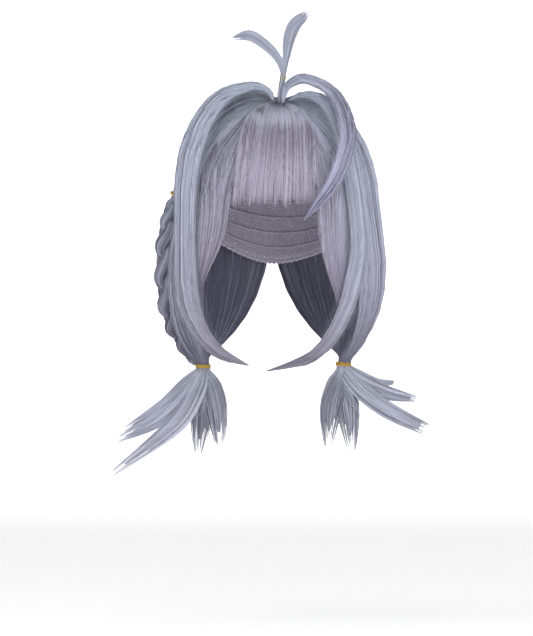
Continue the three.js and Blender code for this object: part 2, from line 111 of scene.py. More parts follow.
def add_piece(name, node, shape, material, uv=None):
    """A smooth mesh object, in metres, from points in mm, that stands for a node of the frame."""
    points, quads, tris = shape
    mesh = bpy.data.meshes.new(name)
    mesh.vertices.add(len(points))
    mesh.vertices.foreach_set("co", (points * MM).astype(np.float32).ravel())
    corners = np.concatenate([quads.ravel(), tris.ravel()]).astype(np.int32)
    mesh.loops.add(len(corners))
    mesh.loops.foreach_set("vertex_index", corners)
    starts = np.concatenate([4 * np.arange(len(quads)), 4 * len(quads) + 3 * np.arange(len(tris))])
    mesh.polygons.add(len(starts))
    mesh.polygons.foreach_set("loop_start", starts.astype(np.int32))
    mesh.update(calc_edges=True)
    mesh.polygons.foreach_set("use_smooth", np.ones(len(starts), bool))
    if uv is not None:
        layer = mesh.uv_layers.new(name="OFBake")
        layer.data.foreach_set("uv", uv.astype(np.float32).ravel())
    mesh.materials.append(material)
    piece = bpy.data.objects.new(name, mesh)
    scene.collection.objects.link(piece)
    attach(piece, "root")
    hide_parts(node)


def node(tree, kind, *values, **settings):
    """A shader node: settings are its properties, and values fill its inputs in order, where a socket
    is linked, None is left as it is and anything else is set."""
    made = tree.nodes.new("ShaderNode" + kind)
    for key, value in settings.items():
        setattr(made, key, value)
    for socket, value in zip(made.inputs, values):
        if isinstance(value, bpy.types.NodeSocket):
            tree.links.new(value, socket)
        elif value is not None:
            socket.default_value = value
    return made


def blend(tree, factor, first, second, how="MIX"):
    """The colour socket of a mix of two colours, each a socket or a fixed colour."""
    other_kinds = [None] * 5  # the node's sockets for numbers and vectors
    mix = node(tree, "Mix", factor, *other_kinds, first, second, data_type="RGBA", blend_type=how)
    return mix.outputs[2]


def new_material(name, roughness):
    """A node material with its tree and its Principled shader."""
    material = bpy.data.materials.new(name)
    material.use_nodes = True
    shader = material.node_tree.nodes["Principled BSDF"]
    shader.inputs["Roughness"].default_value = roughness
    return material, material.node_tree, shader


def linear(red, green, blue):
    """Scene colour of an sRGB colour given in 0 to 255."""
    c = np.array([red, green, blue]) / 255
    return (*np.where(c < 0.04045, c / 12.92, ((c + 0.055) / 1.055) ** 2.4), 1.0)


NET_CELLS = 620.0  # to a metre

net, tree, shader = new_material("cap net", 0.9)
place = node(tree, "TexCoord").outputs["Object"]
cells = node(tree, "TexVoronoi", place, None, NET_CELLS, feature="DISTANCE_TO_EDGE").outputs["Distance"]
holes = node(tree, "MapRange", cells, 0.0, 0.18).outputs["Result"]
thread, hole = linear(212, 206, 221), linear(158, 152, 169)
tree.links.new(blend(tree, holes, thread, hole), shader.inputs["Base Color"])
bump = node(tree, "Bump", 0.5, 0.0004, invert=True)
tree.links.new(holes, bump.inputs["Height"])
tree.links.new(bump.outputs["Normal"], shader.inputs["Normal"])

azimuth, share = np.meshgrid(np.linspace(0, 360, 97)[:-1], np.linspace(0.012, 1, 40))
outside, inside = (on_head(azimuth, rim_polar(azimuth) * share, lift) for lift in (CAP_WALL, 0.0))
shell = closed_tube(np.concatenate([outside, inside[::-1]])[:, ::-1])


def unit(vectors):
    """Vectors of length 1 that point the same way."""
    return vectors / np.linalg.norm(vectors, axis=-1, keepdims=True)


def weft(share, lift, radius):
    """A sewn row: a tube round the cap at a share of the way to the rim, flat against its inside,
    with stitches that swell it every 5 mm or so."""
    stations = 160
    azimuth = np.linspace(0, 360, stations + 1)[:-1]
    polar = rim_polar(azimuth) * share
    path = on_head(azimuth, polar, lift)
    down = unit(on_head(azimuth, polar + 0.5, lift) - path)
    out = on_head(azimuth, polar, lift + 1) - path
    turn = np.linspace(0, 2 * np.pi, 7)[:-1]
    swell = radius * (1 + 0.22 * np.cos(np.arange(stations) * np.pi))[:, None, None]
    flat = np.sin(turn)[:, None] * down[:, None] * 1.8
    high = np.cos(turn)[:, None] * out[:, None] * 0.7
    return closed_tube(path[:, None] + swell * (flat + high), round_the_end=True)


wefts = [weft(share, lift=-0.5, radius=0.7) for share in np.linspace(0.3, 0.94, 11)]
rim_band = weft(1.0, lift=CAP_WALL / 2, radius=1.5)
add_piece("wig_cap_net", "wig_cap", join([shell, *wefts, rim_band]), net)


# Back hair. Two halves that meet in a parting down the back; each follows the head to its widest
# level, falls, and is gathered into a low elastic. Straight silver-lilac fibre in overlapping wisps.

SHADES = 256  # columns of the colour map, from dark under-layers to the lightest fibre
SCALP_FROM = 0.985  # from this shade on the map is the cream of the parting
CAP_ROWS = 0.004  # height on the map of the small faces that close an end
# Painted shade: under-layers get darker shades than the fibres, to paint the shade that falls between them.
SHADED_UNDER_LAYER = (0.25, 0.5)  # shades of what lies under the outer fibres
STRAY_THICKNESS = 0.32  # of an ordinary fibre's
NUDGE = 0.004  # share of a length either side of a place, to find which way the hair runs there
ROOT_POLAR = 5.0  # degrees from the parting at which hair starts
ON_HEAD = 0.47  # share of the length that follows the head
HAIR_BED = CAP_WALL + 1.5  # inner side of the hair and its outside at the crown, in mm over the head
CROWN_LIFT = 9.0
GAP = 0.5  # clearance between neighbouring sections, in mm
BACK_FRONT_EDGE = -26.0  # azimuth at which the back hair meets the temple locks
TIE_LEFT = np.array([64.0, 45.0, -235.0])  # middles of the low elastics
TIE_RIGHT = np.array([-65.0, 45.0, -237.0])
TIE_BUNDLE = 6.2  # radius of the hair in them


def smoothstep(x, low, high):
    """0 below low, 1 above high, and three squares less two cubes of the share between."""
    x = np.clip((x - low) / (high - low), 0, 1)
    return x * x * (3 - 2 * x)


def widest_polar(azimuth):
    """Polar angle at which a meridian reaches the widest level of the head."""
    azimuth = np.radians(azimuth)
    return 90 + 18 * np.sin(azimuth) - 4 * np.cos(azimuth)


def edge_shift(polar):
    """Half the clearance between neighbouring sections of hair, as degrees of azimuth."""
    return np.degrees(np.arcsin(GAP / 2 / (HEAD[0] * np.sin(np.radians(polar)))))


def teased_crown(polar, u):
    """Share of the crown's extra height: none at the front edge and below the ears, and a dip along
    the back parting."""
    across = smoothstep(u, 0, 0.2) - 1.6 * smoothstep(u, 0.62, 1)
    return smoothstep(polar, 5, 22) * (1 - smoothstep(polar, 35, 80)) * across


def falling_form(
    side, front, back, ribs, rib, swell, lifts, crest, drop, spread, rise, end, radius, face, way
):
    """Form of falling hair: point at share t of its length, u from front edge to back edge and d from
    the head's side to the outside. Its first part follows the head between two azimuths and fills out,
    over the polar angles in swell, from the crown's lift to the lifts across, with ribs and a teased
    crest. Then a Bezier curve leads from the widest level, straight down by drop and out by spread, to
    a disc at the end, which it meets from rise mm along way."""

    def on_its_side(azimuth):
        """Azimuth, mirrored on the right side."""
        return azimuth if side > 0 else 180 - azimuth

    def form(t, u, d):
        t, u, d = np.broadcast_arrays(t, u, d)
        share = np.clip(t / ON_HEAD, 0, 1)
        leave = widest_polar(on_its_side(front + (back - front) * u))
        polar = ROOT_POLAR + (leave - ROOT_POLAR) * share
        shift = edge_shift(polar)
        azimuth = front + shift + (back - front - 2 * shift) * u
        full = smoothstep(polar, *swell)
        lift = CROWN_LIFT + (np.interp(u, *lifts) - CROWN_LIFT) * full + crest * teased_crown(polar, u)
        lift = lift + rib * full * (np.abs(np.sin(np.pi * ribs * u)) - 0.5)
        point = on_head(on_its_side(azimuth), polar, HAIR_BED + (lift - HAIR_BED) * d)
        f = np.clip((t - ON_HEAD) / (1 - ON_HEAD), 0, 1)[..., None]
        facing = np.radians(face)
        ahead, aside = (2 * d - 1) * np.sin(np.pi * u), -np.cos(np.pi * u)
        ring_x = ahead * np.cos(facing) - aside * np.sin(facing)
        ring_y = ahead * np.sin(facing) + aside * np.cos(facing)
        goal = end + radius * np.stack([side * ring_x, ring_y, 0 * u], -1)
        level = unit(point * np.array([1, 1, 0]))
        below = point + drop * spread * level - np.array([0, 0, drop])
        above = goal + rise * np.array(way)
        near = (1 - f) ** 3 * point + 3 * (1 - f) ** 2 * f * below
        far = 3 * (1 - f) * f**2 * above + f**3 * goal
        return np.where((t < ON_HEAD)[..., None], point, near + far)

    return form


def painted_inside_shade(t, u):
    """Painted shade: how much darker hair is painted on the side of the head, where it faces the head and
    lies in its shade; less near its front edge, and where it is gathered or ends."""
    return 0.4 * smoothstep(u, 0.3, 0.6) * (1 - 0.75 * smoothstep(t, 0.62, 0.9))


def shade_columns(shade):
    """Left and right edges, in the colour map, of the middle of each shade's column."""
    column = np.floor(np.clip(shade, 0, 0.999) * SHADES)
    return (column + 0.3) / SHADES, (column + 0.7) / SHADES


def strands(paths, thick, shade, along):
    """Closed three-sided fibres along paths (fibre, station, xyz), each ring thick mm from its path,
    with the colour map's column from shade and its row from along, per face corner."""
    fibres, stations = paths.shape[:2]
    way = np.gradient(paths, axis=1)
    way /= np.linalg.norm(way, axis=-1, keepdims=True) + 1e-9
    slant = np.array([0.31, 0.83, 0.46])  # a direction that no fibre takes for long
    side = np.cross(way, slant)
    side /= np.linalg.norm(side, axis=-1, keepdims=True) + 1e-9
    other = np.cross(way, side)
    turn = np.radians([0, 120, 240])
    ring = np.cos(turn)[:, None] * side[:, :, None] + np.sin(turn)[:, None] * other[:, :, None]
    points = paths[:, :, None] + thick[:, :, None, None] * ring
    i, j, k = np.meshgrid(np.arange(fibres), np.arange(stations - 1), np.arange(3), indexing="ij")
    at, next_k = (i * stations + j) * 3, (k + 1) % 3
    quads = np.stack([at + k, at + next_k, at + 3 + next_k, at + 3 + k], -1).reshape(-1, 4)
    first = np.arange(fibres) * stations * 3
    last = first + (stations - 1) * 3
    root_caps = np.stack([first + 2, first + 1, first], -1)
    tip_caps = np.stack([last, last + 1, last + 2], -1)
    low, high = shade_columns(np.broadcast_to(np.clip(shade, 0.02, 0.97), (fibres, stations)))
    across = np.stack([low[:, :-1], high[:, :-1], high[:, 1:], low[:, 1:]], -1)[:, :, None]
    up = np.stack([along[:, :-1], along[:, :-1], along[:, 1:], along[:, 1:]], -1)[:, :, None]
    every_corner = np.zeros((fibres, stations - 1, 3, 4))
    quad_uv = np.stack(np.broadcast_arrays(across, up, every_corner)[:2], -1)
    ends = np.concatenate([along[:, 0], along[:, -1]])[:, None]
    cap = np.concatenate([np.stack([low[:, k], high[:, k], high[:, k]], -1) for k in (0, -1)])
    cap_uv = np.stack([cap, ends + np.array([0, 0, CAP_ROWS])], -1)
    shape = points.reshape(-1, 3), quads, np.concatenate([root_caps, tip_caps])
    return shape, (quad_uv.reshape(-1, 2), cap_uv.reshape(-1, 2))


def under_layer(rings, shade):
    """A closed body through rings (station, corner, xyz), which fills the hair under its fibres; each
    strip along it has the colour map's column from its shade (station, corner), mostly dark shades
    that paint the shade between the fibres."""
    low, high = shade_columns(shade[:-1])
    v = np.linspace(0.03, 0.97, len(rings))
    across = np.stack([low, high, high, low], -1)
    up = np.stack([v[:-1], v[:-1], v[1:], v[1:]], -1)[:, None]
    quad_uv = np.stack(np.broadcast_arrays(across, up), -1)
    cap = np.stack([low[[0, -1]], high[[0, -1]], high[[0, -1]]], -1)
    cap_v = np.stack([v[[0, -1]], v[[0, -1]], v[[0, -1]] + CAP_ROWS], -1)[:, None]
    cap_uv = np.stack(np.broadcast_arrays(cap, cap_v), -1)
    return closed_tube(rings), (quad_uv.reshape(-1, 2), cap_uv.reshape(-1, 2))


def hair_piece(node_name, material, layers):
    """One piece, named after its node, from its under-layers and fibres on the colour map."""
    shape = join([shape for shape, _ in layers])
    uv = np.concatenate([quad for _, (quad, _) in layers] + [cap for _, (_, cap) in layers])
    add_piece(node_name + "_fibre", node_name, shape, material, uv)


def sheet_core(form, side, across, stations, seed, shades=SHADED_UNDER_LAYER):
    """Under-layer of a sheet of hair, a little inside its edges and under its fibres; its rings run the
    other way round on the other side of the head."""
    inner, outer, end = 0.06, 0.85, 0.985
    u = np.concatenate([np.linspace(0.01, 0.99, across), np.linspace(0.99, 0.01, across)])[::-side]
    d = np.concatenate([np.full(across, outer), np.full(across, inner)])[::-side]
    t = np.linspace(0.0, end, stations)[:, None]
    shade = np.random.default_rng(seed).uniform(*shades, (1, 2 * across))
    # painted shade on the inner side of the sheet
    return under_layer(form(t, u[None], d[None]), shade - painted_inside_shade(t, u) * (d == inner))


def sway(rng, which, groups, step):
    """Slow waves along fibres: each wisp's own, in two directions, and a small one of each fibre's."""
    phase = rng.uniform(0, 2 * np.pi, (2, groups, 1))
    pace = rng.uniform(0.5, 1.6, (2, groups, 1))
    shared = np.sin(phase + 2 * np.pi * pace * step)
    return shared[:, which] + 0.3 * np.sin(rng.uniform(0, 2 * np.pi, (2, len(which), 1)) + 9 * step)


def fibre_shades(rng, wisp_shade, which):
    """Shades of fibres: lighter and darker wisps, and more so lighter and darker fibres in them."""
    return np.clip(0.62 + 0.15 * wisp_shade[which] + rng.normal(0, 0.13, len(which)), 0.2, 0.96)[:, None]


def sheet_fibres(
    form, count, wisps, steps, seed, thick=0.25, wave=0.005, ends=(0.985, 1.0),
    comb=None, roots=None, tone_and_painted_light=None,
):
    """Fibres on a sheet: each keeps near its wisp's place across and in depth, closes on it towards
    the end and waves gently. Three in four wisps lie outside, the rest inside or at the edges, and a
    few fibres stray. Comb turns the place across into a path, roots gives where fibres start and
    tone_and_painted_light what their shades gain, from the place along and across: painted light and
    shade, and on the fringe also its paler band."""
    rng = np.random.default_rng(seed)
    inside, edges = wisps // 7, wisps // 10
    outside = wisps - inside - edges
    spread = [(np.arange(n) + rng.random(n)) / n for n in (outside, inside)]
    wisp_u = np.concatenate([*spread, rng.choice([0.004, 0.996], edges)])
    depths = [rng.uniform(0.92, 1, outside), rng.uniform(0, 0.1, inside), rng.random(edges)]
    wisp_d = np.concatenate(depths)
    wisp_shade = rng.normal(0, 1, wisps).clip(-1.6, 1.6)
    wisp_end = rng.uniform(*ends, wisps)
    which = rng.integers(0, wisps, count)
    step = np.asarray(steps)[None]
    across, deep = sway(rng, which, wisps, step)
    near = 1 - 0.5 * step
    stray = (rng.random((count, 1)) < 0.04) * rng.uniform(0.08, 0.35, (count, 1))
    u = wisp_u[which, None] + rng.normal(0, 0.9 / wisps, (count, 1)) * near + wave * step * across
    u = np.clip(u, 0, 1)
    d = wisp_d[which, None] + rng.normal(0, 0.025, (count, 1)) * near + 0.015 * deep
    d = np.clip(d + stray * np.sin(2.2 * step), -0.02, 1.03 + stray)
    root = rng.uniform(0, 0.03, count) if roots is None else roots(wisp_u[which], rng.random(count))
    end = np.minimum(wisp_end[which] + rng.normal(0, 0.006, count), 1)
    t = root[:, None] + (end - root)[:, None] * step
    path = form(t, u if comb is None else comb(u, t), d)
    taper = (0.3 + 0.7 * smoothstep(step, 0, 0.25)) * (1 - 0.75 * smoothstep(step, 0.75, 1.0))
    size = thick * rng.uniform(0.7, 1.3, (count, 1)) * taper * np.where(stray > 0, STRAY_THICKNESS, 1)
    shade = fibre_shades(rng, wisp_shade, which)
    # painted shade on the wisps inside
    shade = shade - 1.3 * painted_inside_shade(t, u) * (wisp_d[which, None] < 0.1)
    if tone_and_painted_light is not None:
        shade = shade + tone_and_painted_light(t, u)
    return strands(path, size, shade, np.clip(0.02 + 0.96 * t, 0.005, 0.995))


def through(values, t):
    """Smooth curve through rows of values: Catmull-Rom between the rows either side of t."""
    rows = np.vstack([2 * values[0] - values[1], values, 2 * values[-1] - values[-2]])
    x = np.clip(t, 0, 1) * (len(values) - 1)
    i = np.minimum(x.astype(int), len(values) - 2)
    f = (x - i)[..., None]
    a, b, c, d = rows[i], rows[i + 1], rows[i + 2], rows[i + 3]
    return b + 0.5 * f * (c - a + f * (2 * a - 5 * b + 4 * c - d + f * (3 * (b - c) + d - a)))


def lock_form(rows):
    """Form of a lock: its middle at share t, p half widths across and q half thicknesses out. Rows give
    x, y, z of its middle, its width and thickness, and the way it faces, in degrees round and up; rows
    without the last two face the front."""
    rows = np.array([(*row, -90, 0) if len(row) == 5 else row for row in rows], float)
    face, up = np.radians(rows[:, 5]), np.radians(rows[:, 6])
    faces = np.stack([np.cos(up) * np.cos(face), np.cos(up) * np.sin(face), np.sin(up)], -1)

    def form(t, p, q):
        t, p, q = np.broadcast_arrays(t, p, q)
        way = unit(through(rows[:, :3], t + NUDGE) - through(rows[:, :3], t - NUDGE))
        across = unit(np.cross(way, through(faces, t)))
        size = through(rows[:, 3:5], t) / 2
        wide, deep = (p * size[..., 0])[..., None], (q * size[..., 1])[..., None]
        return through(rows[:, :3], t) + (across * wide + np.cross(across, way) * deep)

    return form


def pinched(t, pinch):
    """What is left of a lock's section: it loses the share pinch at the root and less further on."""
    return 1 - pinch * smoothstep(-t, -0.07, 0)


def lock_core(form, seed, stations=40, size=0.84, end=0.93, narrow=0.8, pinch=0):
    """Under-layer of a lock: rings at a share of its half width and half thickness, that lose the share
    pinch at the root and the share narrow towards the end."""
    corners = 12
    turn = np.linspace(2 * np.pi, 0, corners + 1)[:-1][None]
    t = np.linspace(0.004, end, stations)[:, None]
    size = size * (1 - narrow * smoothstep(t, 0.75 * end, end)) * pinched(t, pinch)
    shade = np.random.default_rng(seed).uniform(*SHADED_UNDER_LAYER, (1, corners)) + 0 * t
    return under_layer(form(t, size * np.cos(turn), size * np.sin(turn)), shade)


def lock_fibres(
    form, count, wisps, stations, seed, thick=0.25, wave=0.04, shortest=0.8, longest=1, strays=0.05,
    loose=0.1, darker=None, pinch=0, bend=1,
):
    """Fibres of a lock: wisps all round its section, closing on their middle and ending at different
    lengths, so that the tip breaks into points; a few fibres stray. Loose is how far fibres lie from
    their wisp, darker gives what their shade loses as painted shade, and where it is below nothing
    gains as painted light, from the place along, across and out, pinch is what the lock loses at the
    root, and a bend over 1 puts more stations there."""
    rng = np.random.default_rng(seed)
    turn = 2 * np.pi * (np.arange(wisps) + rng.random(wisps)) / wisps
    wisp_p, wisp_q = np.array([np.cos(turn), np.sin(turn)]) * rng.uniform(0.88, 1, wisps)
    wisp_shade = rng.normal(0, 1, wisps).clip(-1.6, 1.6)
    wisp_end = longest - (longest - shortest) * rng.random(wisps) ** 2
    which = rng.integers(0, wisps, count)
    step = np.linspace(0, 1, stations)[None] ** bend
    across, deep = sway(rng, which, wisps, step)
    near = 1 - 0.4 * step
    p = wisp_p[which, None] + rng.normal(0, loose, (count, 1)) * near + wave * across
    q = wisp_q[which, None] + rng.normal(0, loose, (count, 1)) * near + wave * deep
    stray = (rng.random((count, 1)) < strays) * rng.uniform(0.2, 0.8, (count, 1)) * np.sin(2.2 * step)
    held_in = np.minimum(1, 1.04 / np.maximum(np.hypot(p, q), 1e-6))
    fit = held_in * (1 + stray) * pinched(step, pinch)
    end = np.clip(wisp_end[which] + rng.normal(0, loose / 6, count), 0.3, 1)[:, None]
    size = thick * rng.uniform(0.7, 1.3, (count, 1)) * (1 - 0.8 * smoothstep(step, 0.7, 1.0))
    size = size * np.where(stray.max(1, keepdims=True) > 0, STRAY_THICKNESS, 1)
    place = end * step, p * fit, q * fit
    shade = fibre_shades(rng, wisp_shade, which)
    if darker is not None:
        shade = shade - darker(*place)
    return strands(form(*place), size, shade, 0.02 + 0.96 * end * step)


fibre_colour = bpy.data.node_groups.new("fibre colour", "ShaderNodeTree")
for name, direction, kind in (
    ("Map", "INPUT", "Vector"),
    ("Dark", "INPUT", "Color"),
    ("Light", "INPUT", "Color"),
    ("Root", "INPUT", "Color"),
    ("Tip", "INPUT", "Color"),
    ("Colour", "OUTPUT", "Color"),
    ("Roughness", "OUTPUT", "Float"),
):
    fibre_colour.interface.new_socket(name, in_out=direction, socket_type="NodeSocket" + kind)
enter = fibre_colour.nodes.new("NodeGroupInput").outputs
leave = fibre_colour.nodes.new("NodeGroupOutput").inputs
column, along, _ = node(fibre_colour, "SeparateXYZ", enter["Map"]).outputs
long_grain = (190.0, 5.0, 1.0)
stretched = node(fibre_colour, "VectorMath", enter["Map"], long_grain, operation="MULTIPLY").outputs[0]
streak = node(fibre_colour, "TexNoise", stretched, None, 1.0, 3.0).outputs["Fac"]
uneven = node(fibre_colour, "Math", streak, 0.5, -0.25, operation="MULTIPLY_ADD").outputs[0]
# The mix from dark to light takes each fibre's own tone together with the painted light and shade put into
# its column; the darkest columns paint the shade on under-layers and inner sides.
depth = node(fibre_colour, "Math", column, uneven, operation="ADD", use_clamp=True).outputs[0]
tinted = blend(fibre_colour, depth, enter["Dark"], enter["Light"])
for name, low, high in (("Root", 0.5, 0.12), ("Tip", 0.45, 0.9)):
    place = node(fibre_colour, "MapRange", along, low, high, interpolation_type="SMOOTHSTEP").outputs[0]
    tinted = blend(fibre_colour, place, tinted, enter[name], "MULTIPLY")
cream = linear(222, 221, 210)
is_scalp = node(fibre_colour, "Math", column, SCALP_FROM, operation="GREATER_THAN").outputs[0]
fibre_colour.links.new(blend(fibre_colour, is_scalp, tinted, cream), leave["Colour"])
gloss = node(fibre_colour, "MapRange", streak, 0.2, 0.8, 0.36, 0.52).outputs[0]
fibre_colour.links.new(gloss, leave["Roughness"])


def fibre_material(name, dark, light, root, tip):
    """Straight synthetic fibre: colour and roughness from the fibre's column and place along it."""
    material, tree, shader = new_material(name, 0.45)
    place = node(tree, "UVMap", uv_map="OFBake").outputs["UV"]
    group = node(tree, "Group", node_tree=fibre_colour)
    tree.links.new(place, group.inputs["Map"])
    for socket, value in (("Dark", dark), ("Light", light), ("Root", root), ("Tip", tip)):
        group.inputs[socket].default_value = linear(*value)
    tree.links.new(group.outputs["Colour"], shader.inputs["Base Color"])
    tree.links.new(group.outputs["Roughness"], shader.inputs["Roughness"])
    shader.inputs["Specular IOR Level"].default_value = 0.45
    return material


def lit_side(t, u):
    """What the left half's shade gains: it is lit in front, where it leaves the head."""
    return 0.14 * (1 - smoothstep(u, 0.4, 0.7)) * smoothstep(t, 0.2, 0.4) * (1 - smoothstep(t, 0.5, 0.75))


back_fibre = fibre_material(
    "back hair fibre", dark=(84, 85, 102), light=(199, 202, 222), root=(248, 252, 250), tip=(202, 196, 205),
)
HANG_STEPS = np.concatenate([np.linspace(0, 0.5, 10)[:-1], np.linspace(0.5, 1, 9)])
back_hair = dict(
    front=BACK_FRONT_EDGE, back=90, ribs=5, rib=3.4, rise=16, radius=TIE_BUNDLE - 0.4, face=0,
)
back_left = falling_form(
    side=1, swell=(8, 85), crest=7, lifts=((0, 0.18, 0.32, 0.6, 1), (7, 9, 23, 18, 11)),
    drop=104, spread=0.24, end=TIE_LEFT - (0, 0, 1), way=(0.1, -0.1, 1), **back_hair,
)
back_right = falling_form(
    side=-1, swell=(8, 48), crest=8, lifts=((0, 0.2, 0.4, 1), (7, 9, 12, 11)),
    drop=112, spread=0.06, end=TIE_RIGHT - (0, 0, 1), way=(-0.05, -0.1, 1), **back_hair,
)
loose_right = lock_form([
    (-78, 4, -58, 6, 3),
    (-84, 5, -92, 7, 3),
    (-89.5, 8, -125, 9, 3),
    (-91.5, 12, -158, 9.5, 3),
    (-88.5, 20, -190, 9, 3),
    (-82, 29, -211, 9, 3),
    (-72, 39, -228, 7, 3),
    (-65, 44, -236, 4, 3),
])
loose_left = lock_form([
    (87, 30, -176, 3, 2),
    (86, 34, -192, 3.4, 2),
    (85.5, 38, -203, 3.4, 2),
    (82.5, 41, -214, 3, 2),
    (74, 44, -225, 3, 2),
    (66, 45, -234, 2, 2),
])
hair_piece(
    "back_hair_left", back_fibre,
    [
        sheet_core(back_left, side=1, across=61, stations=34, seed=10),
        sheet_fibres(back_left, count=1450, wisps=190, steps=HANG_STEPS, seed=11, tone_and_painted_light=lit_side),
        lock_fibres(loose_left, count=40, wisps=12, stations=14, seed=15, thick=0.2, shortest=0.97),
    ],
)
hair_piece(
    "back_hair_right", back_fibre,
    [
        sheet_core(back_right, side=-1, across=61, stations=34, seed=13),
        sheet_fibres(back_right, count=1350, wisps=170, steps=HANG_STEPS, seed=12),
        lock_fibres(
            loose_right, count=110, wisps=26, stations=15, seed=14, shortest=0.97, loose=0.3, pinch=0.7,
        ),
    ],
)


# Temple locks. They come out from under the side locks, hang straight down beside the fringe and end
# in a thin point at the cheek.

LEFT_FRONT, RIGHT_FRONT = -60, -57  # azimuths at which the locks meet the fringe, each on its side
temple_fibre = fibre_material(
    "temple lock fibre", dark=(84, 79, 94), light=(188, 186, 207), root=(248, 252, 250), tip=(236, 228, 234),
)
temple = dict(
    back=BACK_FRONT_EDGE, ribs=2, rib=1.6, swell=(8, 30), crest=0, rise=40, radius=1.2, face=-45,
)
temple_left = falling_form(
    side=1, front=LEFT_FRONT, lifts=((0, 0.6, 1), (7, 8.5, 7)), drop=60, spread=0.02,
    end=np.array([60.0, -58, -204]), way=(0.02, 0, 1), **temple,
)
temple_right = falling_form(
    side=-1, front=RIGHT_FRONT, lifts=((0, 0.6, 1), (7, 8, 6.5)), drop=45, spread=0.1,
    end=np.array([-68.0, -48, -188]), way=(-0.02, 0, 1), **temple,
)


def hang_straight(front):
    """Comb for a temple lock: the cosine of the azimuth at the end over the sine of the polar angle, so
    that a fibre keeps its place from side to side and may start a little past the back edge; fibres at
    the front edge follow that edge instead."""
    leave = 76  # polar angle at which these locks leave the head

    def comb(u, t):
        wide = BACK_FRONT_EDGE - front
        polar = np.radians(ROOT_POLAR + (leave - ROOT_POLAR) * np.clip(t / ON_HEAD, 0, 1))
        side = np.cos(np.radians(front + wide * u)) * np.sin(np.radians(leave))
        azimuth = -np.degrees(np.arccos(np.minimum(side / np.maximum(np.sin(polar), 0.4), 1)))
        straight = np.minimum((azimuth - front) / wide, np.maximum(u, 1.2))
        return u + (straight - u) * smoothstep(u, 0, 0.35)

    return comb


def painted_light_behind(t, u):
    """Painted light on the left lock: its shade gains less than nothing at its front edge, and more behind
    it.
    """
    return 0.36 * smoothstep(u, 0.15, 0.5) - 0.06


def painted_shade_all_over(t, u):
    """Painted shade on the right lock: its shade gains less than nothing, the same all over."""
    return -0.12 + 0 * u


# Painted light and shade: the two locks are one hair, but the left is painted lighter, also in a lighter
# under-layer, and the right evenly darker.
for name, form, side, front, under, tone_and_painted_light, seed in (
    ("temple_lock_left", temple_left, 1, LEFT_FRONT, (0.55, 0.75), painted_light_behind, 21),
    ("temple_lock_right", temple_right, -1, RIGHT_FRONT, SHADED_UNDER_LAYER, painted_shade_all_over, 23),
):
    core = sheet_core(form, side, across=25, stations=30, seed=seed + 1, shades=under)
    straight = sheet_fibres(
        form, count=450, wisps=60, steps=np.linspace(0, 1, 12), seed=seed, wave=0.02, ends=(0.8, 1.0),
        comb=hang_straight(front), tone_and_painted_light=tone_and_painted_light,
    )
    slanting = sheet_fibres(
        form, count=130, wisps=50, steps=np.linspace(0, 1, 10), seed=seed + 7, wave=0.02, ends=(0.5, 0.8),
        tone_and_painted_light=tone_and_painted_light,
    )
    hair_piece(name, temple_fibre, [core, straight, slanting])


# Bangs. A fan from the parting down the forehead to a straight trimmed edge of small points. At the
# parting the hair is sewn thinly, so that a cream patch like skin shows between the roots.

TEETH = 7  # points of the trimmed edge
BANGS_FROM = -180 - RIGHT_FRONT  # azimuth at the right temple lock, and degrees to the left one
BANGS_WIDE = LEFT_FRONT - BANGS_FROM
BAND_END = 0.32  # share of the length at which the sewn band ends
BANGS_ACROSS = 61
SCALP = 0.99  # a shade past the one from which the colour map is cream
bangs_fibre = fibre_material(
    "bangs fibre", dark=(90, 80, 94), light=(196, 194, 216), root=(246, 252, 246), tip=(255, 251, 250),
)


def bangs_form(t, u, d):
    """Point of the fringe: azimuth from the right temple lock to the left one, polar angle from the
    root to a toothed edge at the brow, lifted 8 mm at the root, 6.8 in the middle, 3.8 at the edge and
    2 more where it spreads over the temple locks."""
    t, u, d = np.broadcast_arrays(t, u, d)
    tooth = np.abs(np.sin(np.pi * TEETH * u))
    uneven = 1 - 0.4 * (1 - np.sin(4 * np.pi * u))
    reach = widest_polar(BANGS_FROM + BANGS_WIDE * u) - 2 + 4 * (tooth - 0.5) * uneven
    polar = ROOT_POLAR + (reach - ROOT_POLAR) * t
    shift = edge_shift(polar)
    body = 8 - 1.2 * smoothstep(t, 0, 0.5) + 1.2 * (tooth - 0.5) * t
    lift = body + (3.8 - body) * smoothstep(t, 0.8, 1) + 2 * smoothstep(np.abs(u - 0.5), 0.48, 0.6)
    azimuth = BANGS_FROM + shift + (BANGS_WIDE - 2 * shift) * u
    return on_head(azimuth, polar, HAIR_BED + (lift - HAIR_BED) * d)


def combed_down(u, t):
    """Comb for the fringe: the sine of the azimuth from its middle over the sine of the polar angle, so
    that fibres fan out round the parting and then hang straight down; both are softened, so that fibres
    bend and do not kink."""
    soft, reach = 0.42, 82
    middle = np.sin(np.radians(BANGS_WIDE / 2 * (2 * u - 1)))
    spread = middle * np.hypot(1, soft) / np.hypot(np.sin(np.radians(ROOT_POLAR + reach * t)), soft)
    return 0.5 + np.degrees(np.arcsin(0.96 * spread / (1 + spread**6) ** (1 / 6))) / BANGS_WIDE


def thin_roots(u, chance):
    """Where fibres of the fringe start: nearly half at the parting, and the rest on the band below the
    patch, but nearer the parting towards both sides."""
    at_parting = 0.16 * chance - 0.04
    on_band = (0.08 + 0.29 * chance) * (1 - 0.8 * (2 * u - 1) ** 2)
    return np.where(chance < 0.45, at_parting, on_band)


def pale_band_and_painted_shadow(t, u):
    """What the fringe's shade gains along it: light over the sewn band, which is paler, and a painted shadow
    just below the band's edge.
    """
    light = 0.33 * (1 - smoothstep(t, 0.24, 0.34))
    return light - 0.2 * smoothstep(t, 0.28, 0.38) * (1 - smoothstep(t, 0.45, 0.75))


